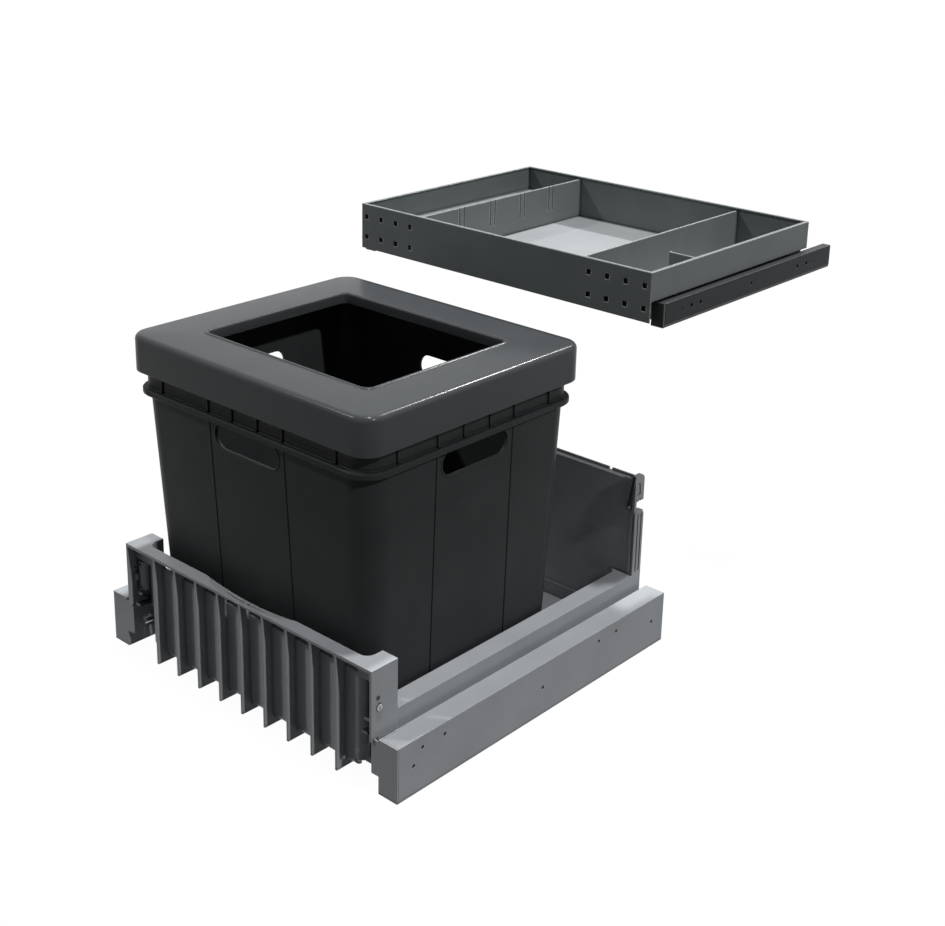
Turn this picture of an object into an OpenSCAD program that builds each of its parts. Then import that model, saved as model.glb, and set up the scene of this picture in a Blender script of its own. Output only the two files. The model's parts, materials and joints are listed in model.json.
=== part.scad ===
// Pull-out waste bin for a base cabinet. Two slides screwed to the cabinet's sides carry a frame
// with a lidded bin, and a shallow divided drawer runs on its own slides above the frame's rear.
// +X is to the right, +Y into the cabinet and +Z up. All sizes are in millimetres.
// Pieces are drawn for the right-hand side and mirrored for the left, with Y = 0 at the front ends
// of the lower slides; placed() then moves everything so that the origin is under the centre.

/* [Cabinet] */
// Clear width between the cabinet's sides
cabinet_w = 518; // [500:1:540]

/* [Lower slides] */
// Length of the lower slides
rail_len = 500; // [480:1:520]
// Width of a slide's case
case_w = 29; // [28:0.5:32]
// Height of a slide's case
case_h = 69; // [66:1:74]
// Wall of a slide's case
case_t = 1.8; // [1.5:0.1:2]
// Radius of the holes for the cabinet's screws
cabinet_hole_r = 2.3; // [2:0.1:2.6]
// Height of the lower row of screw holes
low_hole_z = 36.5; // [34:0.5:38]
// Height of the upper row of screw holes
high_hole_z = 54; // [50:0.5:56]
// Distance between the holes of the lower row
low_hole_pitch = 224; // [192:32:224]
// Distance between the two pairs of the upper row
high_hole_pitch = 320; // [288:32:320]
// Distance between the holes of a pair
pair_pitch = 36; // [32:1:40]

/* [Frame] */
// Gap between the frame's side and the case
frame_gap = 8.2; // [7:0.1:10]
// Height of the frame's side
side_h = 88; // [84:1:96]
// Width of the ledge on the frame's side
ledge_w = 25.8; // [24:0.1:26.5]
// Sheet of the frame's sides, tray and back panel
sheet_t = 2; // [1.5:0.1:2.5]
// Depth of the frame behind the slides' front ends
frame_d = 496; // [480:1:498]
// Height of the tray's floor
floor_z = 12; // [10:0.5:16]
// Height of the back panel
panel_top_z = 222; // [200:1:240]
// Depth of the back panel's folded top
panel_fold_d = 10; // [8:0.5:12]
// Depth of a rear post
post_d = 18.5; // [17:0.5:20]
// Width of a rear post
post_w = 8.5; // [8:0.1:9.5]
// Height of a rear post
post_top_z = 174.5; // [160:0.5:190]

/* [Front bracket] */
// Height of the bracket
bracket_h = 150.7; // [145:0.1:160]
// How far the bracket stands out before the slides
bracket_out = 2.8; // [2:0.1:4]
// Depth of the bracket's top rail
top_rail_d = 17.3; // [15:0.1:19]
// Thickness of the bracket's top rail
top_rail_t = 4; // [3.5:0.1:5]
// Depth of the bracket's arms behind the slides' front ends
arm_back_y = 38; // [34:0.5:42]
// Height of the arms' lower edge
arm_bottom_z = 62; // [58:1:66]
// Wall of the bracket
bracket_t = 3; // [2.5:0.1:3.5]
// Number of fins
fin_count = 9; // [7:1:11]
// Distance between fins
fin_pitch = 41.2; // [30:0.1:41.2]
// Thickness of a fin
fin_t = 3; // [2:0.1:3.5]
// Height of the fins' lower edge
fin_bottom_z = 0.6; // [0.5:0.1:3]
// Depth of the bracket's front wall behind the slides' front ends
front_wall_y = 10; // [9:0.1:11]
// Radius of the front wall's lower curl
curl_r = 11; // [9:0.5:11]
// Depth of the scoop in the top rail
scoop_depth = 7; // [4:0.5:7]
// Half width of the scoop at the rail's rear edge
scoop_half_w = 84; // [60:1:100]

/* [Bin] */
// Width of the bin over its band
bin_w = 400; // [380:1:400]
// Depth of the bin over its band
bin_d = 354; // [340:1:356]
// Place of the band's front
bin_front_y = 11; // [10.5:0.5:14]
// Height of the bin
bin_h = 419.6; // [380:0.1:430]
// Wall of the bin
bin_t = 3; // [2.5:0.1:4]
// Draw-in of the bin's sides per height
bin_taper_x = 0.024; // [0.015:0.001:0.03]
// Draw-in of the bin's front per height
bin_taper_front = 0.058; // [0.04:0.001:0.06]
// Draw-in of the bin's back per height
bin_taper_back = 0.05; // [0.03:0.001:0.06]
// Radius of the band's upright corners
bin_corner_r = 28; // [22:1:30]
// Radius of the walls' upright corners
wall_corner_r = 32; // [26:1:36]
// Depth of the flange's upper face below the rim
flange_drop = 64; // [56:1:72]
// Thickness of the flange
flange_t = 8; // [6:0.5:10]
// Width of a hand hole
hand_w = 111; // [100:1:120]
// Height of a hand hole
hand_h = 32; // [28:1:36]
// Drop from the flange's upper face to the hand hole's centre
hand_drop = 25; // [24:1:32]

/* [Lid] */
// Wall of the lid
lid_t = 3; // [2.5:0.1:3.5]
// Gap between the lid's skirt and the bin
lid_gap = 4.5; // [3:0.1:5]
// Depth of the lid's skirt
lid_h = 46.5; // [40:0.5:52]
// Width of the lid's opening
lid_open_w = 279; // [240:1:290]
// Depth of the lid's opening
lid_open_d = 233; // [200:1:250]
// Depth of the collar round the opening
collar_h = 13; // [10:1:30]
// Radius of the lid's shoulder
shoulder_r = 7; // [5:0.5:9]

/* [Drawer] */
// Gap between the drawer and the cabinet's side
drawer_gap = 9.5; // [9:0.1:11]
// Place of the drawer's front
drawer_front_y = 442; // [430:1:450]
// Depth of the drawer
drawer_d = 371; // [360:1:380]
// Height of the drawer's lower edge
drawer_z = 451.5; // [450:0.5:470]
// Height of the drawer
drawer_h = 64; // [58:1:72]
// Sheet of the drawer
drawer_t = 1.5; // [1.2:0.1:2]
// Depth of the step in the drawer's side that takes the runner
drawer_step_w = 10.3; // [9.8:0.1:11]
// Place of the left divider from the centre
left_divider_x = 146; // [120:1:160]
// Place of the right divider from the centre
right_divider_x = 136; // [120:1:150]
// Distance between slot pairs in the dividers
slot_pitch = 66.8; // [60:0.1:68]
// Size of a square hole in the drawer's front
square_hole = 6.8; // [5:0.1:8]
// Distance between columns of square holes
square_pitch_x = 28.4; // [24:0.1:30]
// Distance between rows of square holes
square_pitch_z = 29; // [24:0.1:32]

/* [Drawer runners] */
// Length of a drawer runner
runner_len = 400; // [390:1:410]
// Height of a drawer runner
runner_h = 31; // [31:0.5:34]
// Place of the runner's front end
runner_front_y = 458.5; // [456:0.5:462]
// Height of the runner's lower edge
runner_z = 443.7; // [442:0.1:446]
// Radius of the runner's screw holes
runner_hole_r = 2.6; // [2.2:0.1:3]

/* [Hidden] */
$fn = 64;

case_color = "#8d9296";
bracket_color = "#868b8f";
sheet_color = "#8a8f93";
panel_color = "#8a8e91";
bin_color = "#161818";
lid_color = "#5d6164";
drawer_color = "#5b6060";
steel_color = "#b4b8bb";
black_color = "#17191a";
cage_color = "#c9cccd";
floor_color = "#c4c7c9";

half_w = cabinet_w / 2;
eps = 0.01;
seat_gap = 0.2;

// Lower slides
case_x0 = half_w - case_w;
case_lip_h = 8;
slide_zc = case_h / 2;
cap_t = 2;
cap_gap = 0.4;
cheek_len = 42;
tab_z0 = 22;
tab_top_z = 66;
rail_front_y = 6;
rail_end_play = 4;
rail_stop_play = 10;
rail_back_y = rail_len - rail_end_play;
member_t = 2;
outer_half_h = 22.5;
outer_lip = 4.5;
outer_lip_t = 1.6;
big_ball_r = 2;
small_ball_r = 1.5;
ball_gap = 0.3;
outer_depth = 13;
outer_ball_dz = outer_half_h - member_t - ball_gap - big_ball_r;
middle_half_h = outer_ball_dz - big_ball_r - ball_gap;
inner_ball_dz = middle_half_h - member_t - ball_gap - small_ball_r;
inner_half_h = inner_ball_dz - small_ball_r - ball_gap;
outer_web_x = half_w - case_t;
middle_web_x = outer_web_x - member_t - 2.2;
middle_depth = 10;
inner_web_x = middle_web_x - middle_depth - 3;
inner_depth = 9;
outer_ball_x = middle_web_x - 3;
inner_ball_x = middle_web_x - member_t - 4.5;
middle_len = rail_back_y - rail_front_y - rail_stop_play;
cage_len = 0.45 * middle_len;
cage_front_y = rail_front_y + 0.26 * middle_len;
ball_count = 9;
ball_inset = 10;
low_hole_front_y = 26;
high_hole_front_y = 40;
low_hole_ys = [for (i = [0 : 2]) low_hole_front_y + i * low_hole_pitch];
high_hole_ys = [for (a = [0, high_hole_pitch], b = [0, pair_pitch]) high_hole_front_y + a + b];

// Frame
frame_half_w = case_x0 - frame_gap;
ledge_x = frame_half_w - ledge_w;
post_y0 = frame_d - post_d;
panel_y = post_y0 + 1.5;
panel_lip_h = 3.5;
lip_notch_x = 169.5;
ledge_flare_r = 12;
tray_front_y = front_wall_y + curl_r + 3;
rivet_head_r = 3.6;
rivet_head_h = 1.8;
rivet_r = 1.9;
rivet_front_in = 22;
rivet_rear_in = 37.5;
rivet_y0 = arm_back_y + rivet_front_in;
rivet_y1 = post_y0 - rivet_rear_in;
rivet_ys = [rivet_y0, (rivet_y0 + rivet_y1) / 2, rivet_y1];
rivet_rise = 8;
rivet_z = slide_zc + rivet_rise;
frame_leg_h = 15;
frame_leg_in = 6;
hook_t = 5.3;
hook_h = 56;
hook_y = post_y0 - 2.5;
latch_x = frame_half_w - 8;
latch_z = post_top_z + 11.5;
latch_t = 2.6;
latch_len = 42;
latch_lean = 9.5;
latch_pin_r = 2;

// Front bracket
bracket_y0 = -bracket_out;
arm_in_x = ledge_x + 2;
pocket_x0 = arm_in_x + bracket_t;
pocket_x1 = frame_half_w - bracket_t;
pocket_back_y = arm_back_y - bracket_t;
pocket_top_z = bracket_h - top_rail_t;
fin_top_z = bracket_h - top_rail_t;
rail_lip_z = bracket_h - 23;
slot_z = bracket_h - 19.7;
slot_w = 21;
slot_h = 10;
curl_z = 7;
wall_end_x = arm_in_x - 3.5;
wall_end_r = 12;
header_z = bracket_h - 23.7;
arm_inner_y = 18;
foot_cut_y = 8;
foot_cut_h = 4;
scoop_front_depth = 1.4;
peg_r = 4;
peg_gap = 0.3;
peg_x = pocket_x1 - peg_r - peg_gap;
peg_y0 = 14;
peg_z = 36.5;

// Door fixing in the bracket's pockets
height_y = 9;
height_z = 102;
height_head_r = 4;
height_shaft_r = 3;
height_shaft_in = 2.3;
height_rise = 1.6;
height_lug_half = 4.5;
fit_gap = 0.05;
carrier_r = 7;
carrier_gap = 0.3;
carrier_x = pocket_x1 - carrier_r - carrier_gap;
carrier_y = 16.5;
carrier_z0 = 84;
carrier_h = 40;
door_hole_pitch = 32;
door_hole_r = 2.1;
lock_screw_y = 7.5;
lock_screw_z = 114.5;
lock_screw_r = 1.5;
lever_pin_y = 26;
lever_pin_z = 66;
lever_pin_r = 2;

// Bin and lid
bin_cy = bin_front_y + bin_d / 2;
bin_z0 = floor_z + seat_gap;
bin_top_z = bin_z0 + bin_h;
flange_top_z = bin_top_z - flange_drop;
wall_top_z = flange_top_z - flange_t;
flange_out = 4.6;
wall_in_x = 3;
wall_in_front = 2.8;
wall_in_back = 1;
band_in = 2;
band_top_in = 18;
band_rib_t = 2.4;
seam_t = 1.6;
seam_out = 0.6;
seam_z0 = bin_z0 + 8;
hand_z = flange_top_z - hand_drop;
hand_rim = 2.5;
hand_rim_out = 0.8;
rib_inner = 22;
rib_outer = 65;
rib_corner = 48.5;
lid_top_z = bin_top_z + seat_gap + lid_t;
lid_w = bin_w + 2 * (lid_gap + lid_t);
lid_d = bin_d + 2 * (lid_gap + lid_t);
lid_corner_r = 26;
open_corner_r = 9;
skirt_z = lid_top_z - lid_h;
lid_rib_t = 2.4;
lid_rib_x = 70;

// Drawer
drawer_half_w = half_w - drawer_gap;
drawer_top_z = drawer_z + drawer_h;
step_z = runner_z + runner_h + 3.3;
step_x = drawer_half_w - drawer_step_w;
hem_w = 4;
drawer_back_y = drawer_front_y + drawer_d;
floor_top_z = drawer_z + drawer_t;
divider_t = 2;
divider_top_z = drawer_top_z - 4;
divider_flange = 9;
slot_front_in = 90.5;
slot_front_y = drawer_front_y + slot_front_in;
slot_pair_gap = 9.5;
divider_slot_w = 3.2;
divider_slot_h = 38;
divider_slot_depth = 0.9;
slot_count = 4;
cross_x = 185;
cross_in = 130;
cross_y = drawer_front_y + cross_in;
cross_top_z = drawer_top_z - 10.5;
square_edge = 9.5;
square_low = 17;

// Drawer runners
runner_w = 19;
runner_x0 = half_w - runner_w;
runner_cap_t = 3.7;
channel_y0 = runner_front_y + runner_cap_t + 0.5;
channel_y1 = channel_y0 + runner_len;
channel_z0 = runner_z + 3.3;
channel_z1 = runner_z + runner_h;
runner_zc = (channel_z0 + channel_z1) / 2;
channel_half_h = (channel_z1 - channel_z0) / 2;
channel_t = 2;
runner_depth = 12;
runner_end_play = 12;
runner_front_play = 3;
runner_middle_depth = 8.5;
runner_ball_r = 1.4;
thin_t = 1.6;
runner_ball_dz = channel_half_h - channel_t - ball_gap - runner_ball_r;
runner_mid_half_h = runner_ball_dz - runner_ball_r - ball_gap;
runner_mid_x = half_w - channel_t - 1.4;
runner_small_r = 1.2;
runner_small_dz = runner_mid_half_h - thin_t - ball_gap - runner_small_r;
runner_rail_half_h = runner_small_dz - runner_small_r - ball_gap;
runner_rail_x1 = runner_mid_x - thin_t - 2;
runner_ball_x = runner_mid_x - 3.5;
runner_small_x = runner_rail_x1 - 2.2;
runner_cage_in = 102;
runner_cage_y = channel_y0 + runner_cage_in;
runner_cage_len = 140;
runner_ball_count = 6;
runner_ball_inset = 8;
runner_screw_holes = [56, 76, 195, 312, 336];
runner_pin_holes = [36, 349];
runner_pin_r = 1.4;
drawer_rivet_r = 1.6;
drawer_rivet_head_r = 3;
drawer_rivet_head_h = 1;
drawer_rivet_depth = 7.5;
drawer_rivet_inset = 60;

frame_shift_y = -(bracket_y0 + channel_y1) / 2;

module placed() {
    translate([0, frame_shift_y, 0]) children();
}

module on_left() {
    mirror([1, 0, 0]) children();
}

module both_sides() {
    children();
    mirror([1, 0, 0]) children();
}

// A block between two opposite corners
module block(low, high) {
    translate(low) cube(high - low);
}

// A cylinder along +X that starts at p
module rod_x(p, r, len) {
    translate(p) rotate([0, 90, 0]) cylinder(r = r, h = len);
}

// A cylinder along +Y that starts at p
module rod_y(p, r, len) {
    translate(p) rotate([-90, 0, 0]) cylinder(r = r, h = len);
}

// A flat rectangle with round corners, centred
module round_rect(w, d, r) {
    square([w - 2 * r, d], center = true);
    square([w, d - 2 * r], center = true);
    for (x = [-1, 1], y = [-1, 1]) translate([x * (w / 2 - r), y * (d / 2 - r)]) circle(r);
}

// An upright box with round corners, centred in X and Y
module round_box(w, d, r, z0, z1) {
    translate([0, 0, z0]) linear_extrude(z1 - z0) round_rect(w, d, r);
}

// A channel open towards -X: its web ends at x1 and its flanges reach depth back
module channel(x1, depth, half_h, t, zc, y0, y1) {
    block([x1 - t, y0, zc - half_h], [x1, y1, zc + half_h]);
    for (s = [-1, 1]) {
        z = zc + s * (half_h - t / 2);
        block([x1 - depth, y0, z - t / 2], [x1, y1, z + t / 2]);
    }
}

// Lower slides
module rail_case_right() {
    color(case_color) placed() rail_case();
}

module rail_case_left() {
    color(case_color) placed() on_left() rail_case();
}

module rail_case() {
    y0 = cap_t + cap_gap;
    difference() {
        union() {
            block([half_w - case_t, y0, 0], [half_w, rail_len, case_h]);
            block([case_x0, y0, case_h - case_t], [half_w, rail_len, case_h]);
            block([case_x0, y0, 0], [half_w, rail_len, case_t]);
            block([case_x0, y0, case_h - case_lip_h], [case_x0 + case_t, rail_len, case_h]);
            block([case_x0, y0, 0], [case_x0 + case_t, rail_len, case_lip_h]);
            block([case_x0, rail_len - case_t, 0], [half_w, rail_len, case_h]);
        }
        block([case_x0 - 1, 0, -1], [case_x0 + case_t + cap_gap, cheek_len + cap_gap, case_h + 1]);
        case_holes(cabinet_hole_r);
    }
}

module case_holes(r) {
    for (y = low_hole_ys) rod_x([half_w - 6, y, low_hole_z], r, 8);
    for (y = high_hole_ys) rod_x([half_w - 6, y, high_hole_z], r, 8);
}

module cabinet_rail_right() {
    color(steel_color) placed() cabinet_rail();
}

module cabinet_rail_left() {
    color(steel_color) placed() on_left() cabinet_rail();
}

module cabinet_rail() {
    lip_x = outer_web_x - outer_depth;
    difference() {
        union() {
            channel(outer_web_x, outer_depth, outer_half_h, member_t, slide_zc, rail_front_y, rail_back_y);
            for (s = [-1, 1]) {
                z = slide_zc + s * (outer_half_h - outer_lip / 2);
                block([lip_x, rail_front_y, z - outer_lip / 2],
                      [lip_x + outer_lip_t, rail_back_y, z + outer_lip / 2]);
            }
        }
        case_holes(cabinet_hole_r);
    }
}

// A cage: two strips with ball holes, joined by a web
module cage(web_x, web_t, strip_x, dz, strip_t, ball_x, ball_r, zc, y0, len, count, inset) {
    difference() {
        union() {
            block([web_x - web_t, y0, zc - dz - strip_t / 2], [web_x, y0 + len, zc + dz + strip_t / 2]);
            for (s = [-1, 1]) {
                block([strip_x, y0, zc + s * dz - strip_t / 2],
                      [web_x, y0 + len, zc + s * dz + strip_t / 2]);
            }
        }
        for (i = [0 : count - 1]) {
            y = y0 + inset + i * (len - 2 * inset) / (count - 1);
            translate([ball_x, y, zc - dz - strip_t]) cylinder(r = ball_r + 0.1, h = 2 * dz + 2 * strip_t);
        }
    }
}

module balls(ball_x, ball_r, dz, zc, y0, len, count, inset) {
    for (i = [0 : count - 1], s = [-1, 1]) {
        y = y0 + inset + i * (len - 2 * inset) / (count - 1);
        translate([ball_x, y, zc + s * dz]) sphere(ball_r);
    }
}

module outer_cage() {
    web_x = outer_web_x - member_t - 0.7;
    cage(web_x, 0.8, outer_ball_x - 3, outer_ball_dz, 1, outer_ball_x, big_ball_r, slide_zc,
         cage_front_y, cage_len, ball_count, ball_inset);
}

module outer_cage_right() {
    color(cage_color) placed() outer_cage();
}

module outer_cage_left() {
    color(cage_color) placed() on_left() outer_cage();
}

module outer_balls() {
    color(steel_color) placed() both_sides()
        balls(outer_ball_x, big_ball_r, outer_ball_dz, slide_zc, cage_front_y, cage_len, ball_count,
              ball_inset);
}

module middle_rail() {
    channel(middle_web_x, middle_depth, middle_half_h, member_t, slide_zc, rail_front_y,
          rail_front_y + middle_len);
}

module middle_rail_right() {
    color(steel_color) placed() middle_rail();
}

module middle_rail_left() {
    color(steel_color) placed() on_left() middle_rail();
}

module inner_cage() {
    web_x = middle_web_x - member_t - 0.6;
    cage(web_x, 0.6, inner_ball_x - 2.4, inner_ball_dz, 0.8, inner_ball_x, small_ball_r, slide_zc,
         cage_front_y, cage_len, ball_count, ball_inset);
}

module inner_cage_right() {
    color(cage_color) placed() inner_cage();
}

module inner_cage_left() {
    color(cage_color) placed() on_left() inner_cage();
}

module inner_balls() {
    color(steel_color) placed() both_sides()
        balls(inner_ball_x, small_ball_r, inner_ball_dz, slide_zc, cage_front_y, cage_len, ball_count,
              ball_inset);
}

// The frame's member of the slide: a channel open outwards, with an angle that bolts to the frame
module frame_rail() {
    y0 = rail_front_y;
    y1 = rail_front_y + middle_len;
    leg_x = frame_half_w + member_t;
    difference() {
        union() {
            block([inner_web_x, y0, slide_zc - inner_half_h],
                  [inner_web_x + member_t, y1, slide_zc + inner_half_h]);
            for (s = [-1, 1]) {
                z = slide_zc + s * (inner_half_h - member_t / 2);
                block([inner_web_x, y0, z - member_t / 2],
                      [inner_web_x + inner_depth, y1, z + member_t / 2]);
            }
            block([frame_half_w, arm_back_y + frame_leg_in, slide_zc - member_t / 2],
                  [inner_web_x + 1, y1, slide_zc + member_t / 2]);
            block([frame_half_w, arm_back_y + frame_leg_in, slide_zc - member_t / 2],
                  [leg_x, y1, slide_zc + frame_leg_h]);
        }
        for (y = rivet_ys) rod_x([frame_half_w - 1, y, rivet_z], rivet_r + fit_gap, member_t + 2);
    }
}

module frame_rail_right() {
    color(steel_color) placed() frame_rail();
}

module frame_rail_left() {
    color(steel_color) placed() on_left() frame_rail();
}

// The cap that closes the case's front and runs out with the frame
module rail_front_cap() {
    block([case_x0, 0, 0], [half_w, cap_t, case_h]);
    block([case_x0, 0, 0], [case_x0 + case_t, cheek_len, case_h]);
    block([inner_web_x, cap_t - eps, slide_zc - 8], [inner_web_x + inner_depth, rail_front_y,
          slide_zc + 8]);
    block([pocket_x1, 0, tab_z0], [case_x0 + eps, cap_t, arm_bottom_z - 0.6]);
    block([frame_half_w + 0.6, 0, tab_z0], [case_x0 + eps, cap_t, tab_top_z]);
}

module rail_front_cap_right() {
    color(case_color) placed() rail_front_cap();
}

module rail_front_cap_left() {
    color(case_color) placed() on_left() rail_front_cap();
}

module frame_rivets() {
    color(steel_color) placed() both_sides() {
        for (y = rivet_ys) {
            rod_x([frame_half_w + member_t, y, rivet_z], rivet_head_r, rivet_head_h);
            rod_x([frame_half_w - sheet_t, y, rivet_z], rivet_r, sheet_t + member_t + eps);
        }
    }
}

// Front bracket with its fins, pockets and scooped top rail
module front_bracket() {
    color(bracket_color) placed() difference() {
        union() {
            top_rail();
            front_wall();
            fins();
            both_sides() arm();
        }
        scoop();
        bay_slots();
        both_sides() fixing_holes();
    }
}

module top_rail() {
    y1 = bracket_y0 + top_rail_d;
    block([-frame_half_w, bracket_y0, bracket_h - top_rail_t], [frame_half_w, y1, bracket_h]);
    block([-arm_in_x, front_wall_y, rail_lip_z], [arm_in_x, y1, bracket_h - eps]);
}

// Scoop in the rail's middle, sloping down towards the bin
module scoop() {
    tilt = atan((scoop_depth - scoop_front_depth) / top_rail_d);
    scoop_r = scoop_half_w * scoop_half_w / (2 * scoop_depth);
    translate([0, bracket_y0 + top_rail_d, bracket_h - scoop_depth]) rotate([-tilt, 0, 0])
        translate([0, 0, scoop_r]) rotate([90, 0, 0])
            cylinder(r = scoop_r, h = 4 * top_rail_d, center = true, $fn = 128);
}

// A quarter of a ring, in the quadrant of +X and -Y
module quarter_ring(r, t) {
    intersection() {
        difference() {
            circle(r);
            circle(r - t);
        }
        translate([0, -r]) square(r);
    }
}

module front_wall() {
    flat = wall_end_x - wall_end_r;
    z0 = curl_z + curl_r;
    block([-flat, front_wall_y, z0], [flat, front_wall_y + bracket_t, fin_top_z + eps]);
    translate([-flat, front_wall_y + curl_r, z0]) rotate([0, 90, 0])
        linear_extrude(2 * flat) quarter_ring(curl_r, bracket_t);
    both_sides() {
        translate([flat, front_wall_y + wall_end_r, z0])
            linear_extrude(header_z - z0 + eps) quarter_ring(wall_end_r, bracket_t);
        block([flat, front_wall_y, header_z], [pocket_x1 + 1, front_wall_y + bracket_t, fin_top_z + eps]);
    }
}

module fins() {
    for (i = [0 : fin_count - 1]) {
        x = (i - (fin_count - 1) / 2) * fin_pitch;
        block([x - fin_t / 2, bracket_y0, fin_bottom_z],
              [x + fin_t / 2, front_wall_y + 1, fin_top_z + eps]);
        block([x - fin_t / 2, bracket_y0, fin_bottom_z],
              [x + fin_t / 2, tray_front_y + 1, floor_z - sheet_t]);
    }
}

module bay_slots() {
    for (i = [0 : fin_count - 1]) {
        x = (i - (fin_count - 1) / 2) * fin_pitch + fin_t / 2;
        block([x, front_wall_y - 1, slot_z], [x + slot_w, bracket_y0 + top_rail_d + 1, slot_z + slot_h]);
    }
}

module arm() {
    difference() {
        union() {
            block([arm_in_x, arm_inner_y, arm_bottom_z], [frame_half_w, arm_back_y, bracket_h]);
            block([pocket_x1, bracket_y0, arm_bottom_z], [frame_half_w, arm_back_y, bracket_h]);
            block([arm_in_x, bracket_y0, bracket_h - top_rail_t], [frame_half_w, arm_back_y, bracket_h]);
            block([pocket_x0, pocket_back_y, peg_z - 12], [frame_half_w, arm_back_y, arm_bottom_z + 1]);
            translate([arm_in_x, bracket_y0 + top_rail_d, bracket_h - top_rail_t]) inner_fillet(12,
                  top_rail_t);
        }
        block([pocket_x0, arm_inner_y - 1, arm_bottom_z - 1], [pocket_x1, pocket_back_y, pocket_top_z]);
        arm_foot_cut();
    }
}

// The arm's lower edge rises towards the slide
module arm_foot_cut() {
    y0 = bracket_y0 - 1;
    z0 = arm_bottom_z - 1;
    translate([pocket_x1 - 1, 0, 0]) rotate([90, 0, 90]) linear_extrude(bracket_t + 2)
        polygon([[y0, z0], [foot_cut_y, z0], [foot_cut_y, arm_bottom_z + foot_cut_h], [y0, arm_bottom_z]]);
}

// The round in the corner between the top rail and an arm
module inner_fillet(r, h) {
    linear_extrude(h) difference() {
        translate([-r, 0]) square([r, r]);
        translate([-r, r]) circle(r);
    }
}

// Slot for the height screw, and the holes of the lock screw and the lever's pin
module fixing_holes() {
    for (s = [-1, 1])
        rod_x([pocket_x1 - 1, height_y, height_z + s * height_rise], height_shaft_r + fit_gap,
              bracket_t + 2);
    block([pocket_x1 - 1, height_y - height_shaft_r - fit_gap, height_z - height_rise],
          [frame_half_w + 1, height_y + height_shaft_r + fit_gap, height_z + height_rise]);
    rod_x([pocket_x1 - 1, lock_screw_y, lock_screw_z], lock_screw_r + fit_gap, bracket_t + 2);
    rod_x([arm_in_x - 1, lever_pin_y, lever_pin_z], lever_pin_r + fit_gap, bracket_t + 2);
    rod_x([pocket_x1 - 1, lever_pin_y, lever_pin_z], lever_pin_r + fit_gap, 2.5);
}

// Carrier that the door screws to; the height screw holds its lug against the arm's wall
module door_carrier() {
    z1 = carrier_z0 + carrier_h;
    difference() {
        union() {
            translate([carrier_x, carrier_y, carrier_z0]) cylinder(r = carrier_r, h = carrier_h);
            block([carrier_x - carrier_r + 1, carrier_y, carrier_z0],
                  [pocket_x1 - carrier_gap, carrier_y + 12, z1]);
            block([carrier_x + 1.9, height_y - 4, height_z - height_lug_half],
                  [pocket_x1 - carrier_gap, carrier_y, height_z + height_lug_half]);
        }
        for (z = door_hole_zs()) rod_y([carrier_x, 0, z], door_hole_r, 40);
        rod_x([carrier_x + 1, height_y, height_z], height_shaft_r + fit_gap, carrier_r);
    }
}

function door_hole_zs() = [for (s = [-1, 1]) carrier_z0 + carrier_h / 2 + s * door_hole_pitch / 2];

module door_carrier_right() {
    color(steel_color) placed() door_carrier();
}

module door_carrier_left() {
    color(steel_color) placed() on_left() door_carrier();
}

// Height screw: a head on the arm's outer face and a shaft through the slot into the carrier's lug
module height_screw() {
    head_t = 1.4;
    shaft_x = carrier_x + height_shaft_in;
    difference() {
        union() {
            rod_x([frame_half_w + 0.1, height_y, height_z], height_head_r, head_t);
            rod_x([shaft_x, height_y, height_z], height_shaft_r, frame_half_w + 0.1 + eps - shaft_x);
        }
        block([frame_half_w + 0.8, height_y - 0.7, height_z - 3],
              [frame_half_w + 3, height_y + 0.7, height_z + 3]);
    }
}

module height_screw_right() {
    color(steel_color) placed() height_screw();
}

module height_screw_left() {
    color(steel_color) placed() on_left() height_screw();
}

module lock_screws() {
    color(black_color) placed() both_sides() {
        rod_x([pocket_x1 + 0.4, lock_screw_y, lock_screw_z], lock_screw_r, bracket_t);
        rod_x([frame_half_w, lock_screw_y, lock_screw_z], lock_screw_r + 0.9, 0.9);
    }
}

// Slanted lever with two blades that locks the door's carrier
module lock_lever() {
    x0 = pocket_x0 + 2;
    translate([x0, lever_pin_y, lever_pin_z]) rotate([90, 0, 90]) linear_extrude(carrier_x - x0) {
        circle(4.5);
        rotate(142) translate([0, -1.6]) square([27, 3.2]);
        rotate(176) translate([0, -1.6]) square([25, 3.2]);
    }
    rod_x([pocket_x0 - bracket_t, lever_pin_y, lever_pin_z], lever_pin_r,
          pocket_x1 - pocket_x0 + bracket_t + 1.2);
}

module lock_lever_right() {
    color(black_color) placed() lock_lever();
}

module lock_lever_left() {
    color(black_color) placed() on_left() lock_lever();
}

// Pegs that stand out under the arms
module frame_pegs() {
    color(steel_color) placed() both_sides()
        rod_y([peg_x, peg_y0, peg_z], peg_r, pocket_back_y - peg_y0);
}

// Frame behind the bracket
module side_frame() {
    y1 = post_y0;
    inner_x = ledge_x + sheet_t;
    difference() {
        union() {
            block([frame_half_w - sheet_t, arm_back_y, floor_z - sheet_t], [frame_half_w, y1, side_h]);
            block([ledge_x, arm_back_y, side_h - sheet_t], [frame_half_w, y1, side_h]);
            block([inner_x, arm_back_y, side_h - 12], [inner_x + sheet_t, y1, side_h]);
            block([inner_x, arm_back_y, floor_z - sheet_t], [frame_half_w, y1, floor_z]);
            translate([ledge_x, y1, side_h - sheet_t]) mirror([0, 1, 0]) inner_fillet(ledge_flare_r,
                  sheet_t);
        }
        for (y = rivet_ys) rod_x([frame_half_w - sheet_t - 1, y, rivet_z], rivet_r + fit_gap, sheet_t + 2);
    }
}

module side_frame_right() {
    color(sheet_color) placed() side_frame();
}

module side_frame_left() {
    color(sheet_color) placed() on_left() side_frame();
}

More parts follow.
